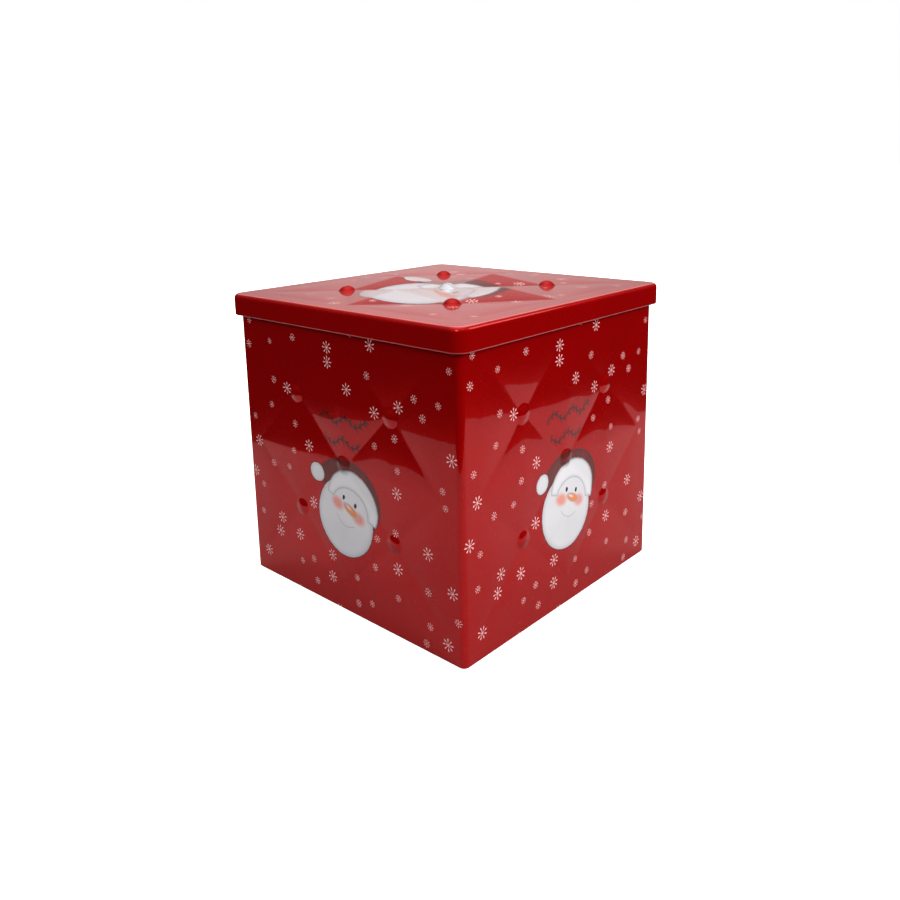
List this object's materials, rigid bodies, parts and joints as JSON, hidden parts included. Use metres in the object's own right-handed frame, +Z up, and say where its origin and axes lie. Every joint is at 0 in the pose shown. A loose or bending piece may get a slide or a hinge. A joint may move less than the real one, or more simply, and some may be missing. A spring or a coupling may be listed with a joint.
{
  "type": "cookie tin",
  "caption": "Square tinplate biscuit tin with tufted embossed sides and a lift-off lid with a rolled hem.",
  "frame": {"origin": "middle of the tin's square footprint, on the surface it stands on", "axes": "+Z up through the lid, +X and +Y square to two sides; -Y is a front side, the seam is at the back corner at -X +Y"},
  "size_m": [0.1652, 0.1652, 0.1605],
  "materials": {
    "printed_tinplate": "glossy red printed lacquer outside, bare tin inside",
    "plain_tinplate": "bright unprinted tinplate"
  },
  "bodies": {
    "tin": {"body_wall": "printed_tinplate", "base_plate": "plain_tinplate"},
    "lid": {"lid": "printed_tinplate"}
  },
  "joints": [
    {"name": "lid_lift", "type": "slide", "parent": "tin", "child": "lid", "axis": [0, 0, 1], "range_m": [0, 0.1]}
  ]
}
